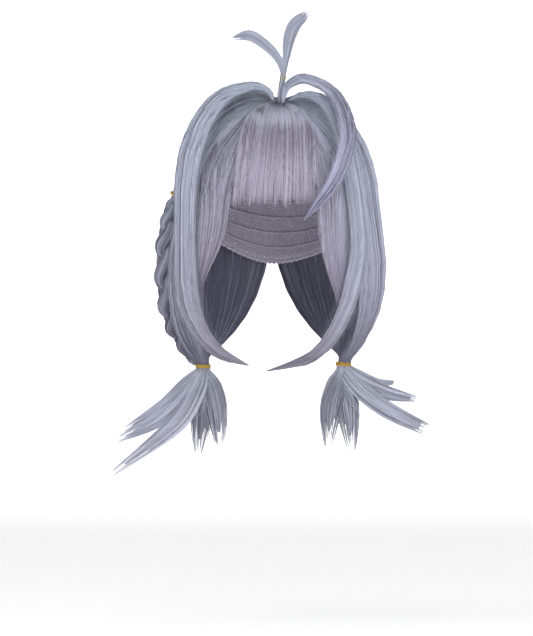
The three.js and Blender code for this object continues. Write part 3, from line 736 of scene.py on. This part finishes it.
u, t = np.meshgrid(np.linspace(0.99, 0.01, BANGS_ACROSS), np.linspace(0, 0.88, 24))
rings = np.concatenate([bangs_form(t, u, 0.78), bangs_form(t, u, 0.06)[:, ::-1]], 1)
shade = np.random.default_rng(32).uniform(*SHADED_UNDER_LAYER, (1, 2 * BANGS_ACROSS)) + 0 * t[:, :1]
band = np.where(t < BAND_END, 0.78, shade[:, :BANGS_ACROSS])
patch_end = 0.31 - 0.6 * (2 * u - 1) ** 2
shade[:, :BANGS_ACROSS] = np.where(t < patch_end, SCALP, band)
# painted shade on the fringe's inner side
shade[:, BANGS_ACROSS:] -= painted_inside_shade(t, 1.0)
bangs_fibres = sheet_fibres(
    bangs_form, count=1920, wisps=230, steps=np.linspace(0, 1, 9), seed=31, thick=0.22, ends=(0.95, 1.0),
    comb=combed_down, roots=thin_roots, tone_and_painted_light=pale_band_and_painted_shadow,
)
hair_piece("bangs", bangs_fibre, [under_layer(rings, shade), bangs_fibres])


# Side locks. Long locks that arch off the parting, hang beside the face and curl in to a point. They
# are pinched where they come out of the parting, so that they stand up from it.

lock_fibre = fibre_material(
    "lock fibre", dark=(86, 87, 103), light=(196, 201, 220), root=(246, 252, 250), tip=(230, 220, 224),
)
side_right = lock_form([
    (-1, -36, 3.4, 5, 3, -100, 60),
    (-3.5, -38, 10, 6.5, 3.4, -101, 59),
    (-10, -40.5, 14.6, 9.5, 4.2, -103, 57),
    (-20, -43, 16.2, 13, 5, -105, 55),
    (-41, -50, 10, 17, 6, -115, 42),
    (-57, -56, -4, 20, 7, -120, 28),
    (-71, -59, -31, 23, 7.5, -122, 12),
    (-78.2, -58, -62, 23, 8, -122, 0),
    (-80, -56, -100, 21, 8, -122, 0),
    (-80, -55, -140, 22, 8, -120, 0),
    (-79, -56, -172, 22, 8, -115, 0),
    (-71, -58, -197, 17, 7.5, -108, 0),
    (-59, -61, -215, 13, 6.5, -100, 0),
    (-44, -64, -227, 9, 5, -95, 0),
    (-22.5, -66, -235, 1, 1, -90, 0),
])
side_left = lock_form([
    (12, -36, 2.9, 4, 2.6, -70, 60),
    (26, -46, 8.5, 8, 4, -70, 45),
    (44, -56, 3, 11, 5, -65, 32),
    (58, -61, -17, 13, 6, -62, 20),
    (66, -64, -48, 15, 7, -58, 8),
    (73, -65, -90, 16, 7, -58, 0),
    (76.5, -65, -131, 15, 7, -60, 0),
    (71, -66, -160, 16, 7, -64, 0),
    (66, -67, -180, 14, 7, -70, 0),
    (57, -68, -200, 13, 6.5, -78, 0),
    (46, -69, -217, 11, 6, -84, 0),
    (28, -70, -231, 8, 5, -90, 0),
    (-7, -71, -240, 1, 1, -90, 0),
])
for name, form, count, seed in (
    ("side_lock_right", side_right, 800, 41),
    ("side_lock_left", side_left, 700, 43),
):
    core = lock_core(form, seed=seed, pinch=0.6)
    fibres = lock_fibres(form, count, wisps=80, stations=17, seed=seed + 1, pinch=0.6, bend=1.3)
    hair_piece(name, lock_fibre, [core, fibres])


# Sweep lock. A sickle that arches high off the parting and sweeps in to a point over the brow. It
# hangs clear of the fringe, and painted shade darkens it where it turns in.

sweep = lock_form([
    (7.5, -40, 0.7, 4, 3, -80, 20),
    (11, -40, 14.5, 6, 4, -83, 20),
    (18.5, -45, 20.5, 8.5, 5, -85, 20),
    (28, -51, 22.5, 9, 6, -82, 20),
    (46.5, -62, 14.5, 9.5, 6.5, -76, 18),
    (58.5, -71, 0, 12.5, 7, -72, 12),
    (66, -78, -25, 15, 7.5, -70, 0),
    (62, -84, -50, 13.5, 7, -72, 0),
    (52.5, -92, -73, 11.5, 6, -76, 0),
    (40, -98, -90, 7.5, 4.5, -80, 0),
    (26.5, -102, -106, 1, 1, -84, 0),
])
sweep_fibre = fibre_material(
    "sweep lock fibre", dark=(86, 87, 105), light=(197, 199, 222), root=(246, 252, 250), tip=(250, 246, 255),
)


def in_shadow(t, p, q):
    """Painted shade: how much darker the sickle is painted round its turn, and nowhere else."""
    return 0.3 * smoothstep(t, 0.36, 0.5) * (1 - smoothstep(t, 0.55, 0.75))


core = lock_core(sweep, seed=51, pinch=0.6)
fibres = lock_fibres(
    sweep, count=420, wisps=44, stations=14, seed=52, darker=in_shadow, pinch=0.6, bend=1.2,
)
hair_piece("sweep_lock_left", sweep_fibre, [core, fibres])


# Sprout. A stem on the parting that splits into two flat blades with frayed ends. Seven turns of thin
# pale thread bind it below the fork.

FORK_Y = -31.5  # the blades stand in this plane
hair_fibre = fibre_material(
    "hair fibre", dark=(92, 94, 111), light=(202, 206, 225), root=(248, 252, 250), tip=(255, 255, 255),
)
stem = lock_form([
    (5.3, -29.4, -2.9, 6, 6),
    (6.5, FORK_Y, 12, 5.4, 5.4),
    (8, FORK_Y, 24, 4.6, 4.6),
    (9, FORK_Y, 33, 5, 4),
])
blade_left = lock_form([
    (8.6, FORK_Y, 28, 4.4, 3.4),
    (11, FORK_Y, 42, 6, 3.4),
    (13.2, FORK_Y, 57, 10, 3),
    (18, FORK_Y, 71, 11.5, 2.8),
    (26, FORK_Y, 79, 9, 2.2),
    (32, FORK_Y, 84, 2, 1.2),
])
blade_right = lock_form([
    (8.6, FORK_Y, 28, 4.4, 3.4),
    (5.5, FORK_Y, 38, 6, 3.4),
    (-2, FORK_Y, 48.5, 7.8, 3),
    (-18, FORK_Y, 60.8, 9.5, 2.8),
    (-28, FORK_Y, 62, 8, 2.4),
    (-39, FORK_Y, 59, 1.6, 1.2),
])
hair_piece(
    "sprout", hair_fibre,
    [
        *(lock_core(form, seed=60, stations=16) for form in (stem, blade_left, blade_right)),
        lock_fibres(stem, count=120, wisps=12, stations=6, seed=61, shortest=0.95),
        lock_fibres(
            blade_left, count=190, wisps=40, stations=11, seed=62, thick=0.2, shortest=0.74, strays=0.1,
            loose=0.25,
        ),
        lock_fibres(blade_right, count=190, wisps=24, stations=11, seed=63, thick=0.2),
    ],
)


def wound(at, axis, inside, cord, turns, seed):
    """Turns of cord round a bundle: closed rings of round section, each a little tilted and shifted."""
    rng = np.random.default_rng(seed)
    axis = np.array(axis, float) / np.linalg.norm(axis)
    first = np.cross(axis, (0.0, 1.0, 0.0))
    first /= np.linalg.norm(first)
    second = np.cross(axis, first)
    around, turn = np.linspace(0, 2 * np.pi, 49)[:-1], np.linspace(0, 2 * np.pi, 9)[:-1]
    out = np.cos(around)[:, None] * first + np.sin(around)[:, None] * second
    section = np.cos(turn)[:, None] * out[:, None] + np.sin(turn)[:, None] * axis
    rings = []
    for k in range(turns):
        tilt = 0.15 * cord * np.cos(around - rng.uniform(0, 6.28))[:, None] * axis
        middle = at + out * (inside + cord / 2) + tilt + axis * (k - (turns - 1) / 2) * cord * 0.92
        rings.append(closed_tube((middle[:, None] + section * cord / 2)[:, ::-1], round_the_end=True))
    return join(rings)


def cord_material(name, dark, light, size):
    """Covered elastic: fine slanted threads in two shades, with bump, round the cord."""
    material, tree, shader = new_material(name, 0.65)
    place = node(tree, "TexCoord").outputs["Object"]
    threads = node(tree, "TexWave", place, size, 1.5, bands_direction="DIAGONAL").outputs["Fac"]
    bump = node(tree, "Bump", 0.4, 0.0002)
    tree.links.new(threads, bump.inputs["Height"])
    tree.links.new(blend(tree, threads, linear(*dark), linear(*light)), shader.inputs["Base Color"])
    tree.links.new(bump.outputs["Normal"], shader.inputs["Normal"])
    return material


pale = cord_material("pale thread", dark=(138, 139, 131), light=(184, 184, 170), size=1100)
sprout_tie = wound(np.array([8, FORK_Y, 24.0]), (0.14, 0, 1), inside=2.25, cord=0.62, turns=7, seed=65)
add_piece("sprout_tie_thread", "sprout_tie", sprout_tie, pale)


# Braid. Three strands plaited over the back hair on the wearer's right, thin at both ends. A gold
# elastic holds its top, and a short tuft leads its tail into the low elastic.

BRAID_ACROSS = 5.5  # how far a strand swings to each side and in and out, and its half width, in mm
BRAID_DEEP = 4.0
BRAID_STRAND = 4.8
BRAID_PLUMP = 0.32  # share by which a strand is wider where it turns
BRAID_PITCH = 64.0  # length of a full plait, in mm
braid_rows = np.array([
    (-87.6, 9, -68, 0.24),
    (-90, 13.5, -80.5, 0.27),
    (-93.8, 17.5, -91, 0.62),
    (-96.2, 22.5, -107, 0.84),
    (-98.6, 30, -128, 1),
    (-99.2, 36, -155, 1),
    (-95.8, 41, -180, 1.06),
    (-90, 45, -199, 1.04),
    (-82.8, 47.4, -216, 0.81),
    (-74.8, 47.4, -233.5, 0.38),
])
braid_facing = np.radians(165)
braid_face = np.array([np.cos(braid_facing), np.sin(braid_facing), 0])


def braid_middle(t, strand):
    """Middle of a strand, its swing across and its way out, from -1 to 1: across by a sine, in and out by
    a sine of twice the pace, with a third of a turn between strands. Rows give x, y, z and a share of
    the full size."""
    path, share = braid_rows[:, :3], braid_rows[:, 3:]
    fine = through(path, np.linspace(0, 1, 200))
    turns = np.linalg.norm(np.diff(fine, axis=0), axis=1).sum() / BRAID_PITCH
    phase = 2 * np.pi * (turns * t + strand / 3)
    at = np.clip(t, NUDGE, 1 - NUDGE)
    way = through(path, at + NUDGE) - through(path, at - NUDGE)
    across = unit(np.cross(way, braid_face))
    swing, outward = np.sin(phase), -np.sin(2 * phase)
    offset = across * (BRAID_ACROSS * swing)[..., None] + braid_face * (BRAID_DEEP * outward)[..., None]
    return through(path, t) + through(share, t) * offset, swing, outward


def braid_form(strand):
    """Form of a strand of the braid, p and q half widths from its middle; it is plumper at the turns."""

    def form(t, p, q):
        t, p, q = np.broadcast_arrays(t, p, q)
        way = unit(braid_middle(t + NUDGE, strand)[0] - braid_middle(t - NUDGE, strand)[0])
        across = unit(np.cross(way, braid_face))
        middle, swing, _ = braid_middle(t, strand)
        size = BRAID_STRAND * through(braid_rows[:, 3:], t)[..., 0] * (1 + BRAID_PLUMP * swing**2)
        return middle + across * (p * size)[..., None] + np.cross(across, way) * (q * size)[..., None]

    return form


def painted_crease_shade(strand):
    """Painted shade: how much darker a strand's fibres are painted under the other strands, and at its
    sides, where shade falls in the creases.
    """

    def darker(t, p, q):
        under = smoothstep(-braid_middle(t, strand)[2], 0, 0.9)
        return 0.2 * under + 0.5 * smoothstep(np.abs(q), 0.5, 0.95)

    return darker


layers = []
for k in range(3):
    strand = braid_form(k)
    layers.append(lock_core(strand, seed=70 + k, stations=80, size=0.92, end=0.985, narrow=0.1))
    layers.append(lock_fibres(
        strand, count=72, wisps=28, stations=60, seed=74 + k, thick=0.32, wave=0.02, shortest=0.97, strays=0,
        darker=painted_crease_shade(k),
    ))
tail = lock_form([
    (-77, 47.4, -228.5, 6, 5),
    (-74, 47.2, -232.5, 5.6, 5),
    (-70.5, 46.6, -235.8, 4, 4),
])
layers.append(lock_core(tail, seed=78, stations=8))
layers.append(lock_fibres(tail, count=70, wisps=16, stations=6, seed=79, shortest=0.95, strays=0))
hair_piece("braid", back_fibre, layers)

gold = cord_material("gold elastic", dark=(142, 110, 34), light=(206, 168, 62), size=900)
braid_tie = wound(braid_rows[1, :3], (0.55, -0.2, 0.81), inside=3.9, cord=1.35, turns=2, seed=75)
add_piece("braid_tie_cord", "braid_tie", braid_tie, gold)


# Pigtails. Stiff bunches that burst from the low elastics in long points: three outside, with
# painted light towards their tips, and two shorter ones inside, painted darker as shade.

TIE_HEIGHT = 4.2  # of an elastic, in mm
# Painted light: a lighter copy of the hair colour, for the pigtails that hang low.
pigtail_fibre_painted_light = fibre_material(
    "pigtail fibre", dark=(100, 102, 118), light=(212, 215, 233), root=(248, 252, 250), tip=(255, 255, 255),
)
right_spikes = [
    [(-80, 47, -254, 14, 9), (-101, 50, -273, 12, 7), (-138, 53, -296, 5, 2)],
    [(-79, 46, -259, 15, 10), (-105, 48, -285, 14, 8), (-146, 50, -306, 5, 2)],
    [(-72, 44, -261, 16, 10), (-92, 42, -292, 16, 9), (-149, 38, -336, 5, 2)],
    [(-65, 54, -258, 18, 12), (-67, 58, -286, 19, 11), (-70, 60, -320, 7, 3)],
    [(-57, 51, -257, 18, 12), (-52, 54, -281, 18, 11), (-50, 56, -312, 7, 3)],
]
left_spikes = [
    [(80, 53, -246, 9, 7), (94, 56, -252, 8, 5), (111, 58, -252, 3.5, 2)],
    [(84, 48, -253, 13, 9), (106, 50, -262, 12, 7), (131, 51, -267, 6, 2)],
    [(78, 44, -257, 15, 10), (104, 42, -277, 15, 8), (142, 40, -296, 11, 2.5)],
    [(66, 54, -256, 18, 12), (69, 58, -283, 19, 11), (72, 60, -316, 7, 3)],
    [(57, 51, -256, 18, 12), (52, 54, -280, 19, 11), (50, 56, -311, 7, 3)],
]


def halfway(first, second):
    """Form in the middle between two forms."""

    def form(t, p, q):
        return (first(t, p, q) + second(t, p, q)) / 2

    return form


def pigtail(tie, spikes):
    """The neck inside the elastic, each spike and what fills the bunch between two spikes, as lock forms
    that all face the front."""
    below = tie - (0, 0, TIE_HEIGHT)
    neck = lock_form([
        (*(tie + (0, 0, TIE_HEIGHT / 2)), 2 * TIE_BUNDLE, 2 * TIE_BUNDLE),
        (*below, 2 * TIE_BUNDLE, 2 * TIE_BUNDLE),
        (*(tie - (0, 0, 10)), 8, 8),
    ])
    forms = [lock_form([(*below, 10, 10), *rows]) for rows in spikes]
    return neck, forms, [halfway(first, second) for first, second in zip(forms, forms[1:])]


def painted_light_tips(gain):
    """Painted light: how much darker an outer spike is along it, less than nothing, as its tip is painted
    lighter by the gain.
    """

    def darker(t, p, q):
        return -gain * smoothstep(t, 0.35, 0.8)

    return darker


def in_the_shade(t, p, q):
    """Painted shade: how much darker an inner spike is painted along it."""
    return 0.28 * smoothstep(t, 0.05, 0.3)


# The gain is painted light on the outer tips: much more on the right pigtail than on the left.
for name, tie, spikes, gain, shortest, narrow, seed in (
    ("pigtail_right", TIE_RIGHT, right_spikes, 0.26, 0.72, 0.8, 81),
    ("pigtail_left", TIE_LEFT, left_spikes, 0.02, 0.9, 0.3, 91),
):
    neck, forms, between = pigtail(tie, spikes)
    outer, inner = forms[:3], forms[3:]
    layers = [lock_core(form, seed, stations=20, size=0.76, narrow=narrow) for form in outer]
    layers += [lock_core(form, seed, stations=20, size=0.76, end=0.85) for form in (neck, *inner)]
    layers += [lock_core(form, seed, stations=16, size=0.8, end=0.46) for form in between]
    layers.append(lock_fibres(neck, count=100, wisps=24, stations=5, seed=seed, shortest=0.95))
    bunch = dict(thick=0.3, loose=0.28)
    for k, form in enumerate(forms):
        least, darker = (shortest, painted_light_tips(gain)) if form in outer else (0.7, in_the_shade)
        layers.append(lock_fibres(form, 180, 80, 10, seed + 1 + k, shortest=least, darker=darker, **bunch))
    for k, form in enumerate(between):
        layers.append(lock_fibres(form, 70, 30, 9, seed + 1 + k, shortest=0.36, longest=0.58, **bunch))
    hair_piece(name, pigtail_fibre_painted_light, layers)
    cord = wound(tie, (0.05, 0.02, 1), inside=TIE_BUNDLE - 0.1, cord=1.2, turns=3, seed=seed + 7)
    tie_name = name.replace("pigtail", "pigtail_tie")
    add_piece(tie_name + "_cord", tie_name, cord, gold)


# Studio. A pale seamless floor and backdrop, soft lights from above, from the side and in front, and
# one on the backdrop. The camera stands at the height of the wig, straight in front and far enough
# to flatten the view.

FLOOR_Z = -0.48  # in metres, like all of the studio
HALF_WIDE = 7.0
turn = np.linspace(0, np.pi / 2, 13)
curve = np.stack([5.5 + np.sin(turn), FLOOR_Z + 1 - np.cos(turn)], -1)
profile = np.concatenate([[(-7.0, FLOOR_Z)], curve, [(6.5, 5.0)]])
wide = np.array([-HALF_WIDE, HALF_WIDE])
paper_points = np.stack(np.broadcast_arrays(wide[None], profile[:, :1], profile[:, 1:]), -1).reshape(-1, 3)
rows = np.arange(len(profile) - 1)[:, None] * 2
backdrop_mesh = bpy.data.meshes.new("backdrop")
backdrop_mesh.from_pydata(paper_points.tolist(), [], (rows + np.array([0, 1, 3, 2])).tolist())
backdrop_mesh.polygons.foreach_set("use_smooth", np.ones(len(rows), bool))
backdrop = bpy.data.objects.new("backdrop", backdrop_mesh)
scene.collection.objects.link(backdrop)
paper, _, shader = new_material("pale paper", 0.95)
shader.inputs["Base Color"].default_value = (0.9, 0.9, 0.9, 1)
shader.inputs["Emission Color"].default_value = (1, 1, 1, 1)
shader.inputs["Emission Strength"].default_value = 0.25
backdrop_mesh.materials.append(paper)
backdrop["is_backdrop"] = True


def soft_light(name, place, target, size, power):
    """A square area light at place (m) that shines at target."""
    light = bpy.data.lights.new(name, "AREA")
    light.size, light.energy = size, power
    lamp = bpy.data.objects.new(name, light)
    lamp.location = place
    x, y, z = np.array(target) - np.array(place)
    lamp.rotation_euler = (np.arctan2(np.hypot(x, y), -z), 0, np.arctan2(y, x) - np.pi / 2)
    scene.collection.objects.link(lamp)


soft_light("key", (-0.8, -2.2, 1.6), (0, 0, -0.1), 2.6, 38)
soft_light("fill", (1.7, -2.3, -0.3), (0, 0, -0.2), 2.0, 32)
soft_light("front", (0.3, -3.0, 0.3), (0, 0, -0.15), 1.6, 20)
soft_light("backdrop light", (0, 4.4, 2.2), (0, 6.5, 0.2), 2.4, 90)
world = bpy.data.worlds.new("studio")
scene.world = world
world.use_nodes = True
sky = world.node_tree.nodes["Background"].inputs
sky["Color"].default_value = (1, 1, 1, 1)
sky["Strength"].default_value = 0.5

camera = bpy.data.cameras.new("camera")
camera.lens = 251.6
camera.clip_end = 50
viewer = bpy.data.objects.new("camera", camera)
viewer.location = (-0.00675, -4.04, -0.1926)
viewer.rotation_euler = (np.pi / 2, 0, 0)
scene.collection.objects.link(viewer)
scene.camera = viewer
scene.view_settings.view_transform = "Standard"

box_of = lambda box: [[float(v) for v in corner] for corner in box]
{"cad": box_of(cad_box), "visual": box_of(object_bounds())}
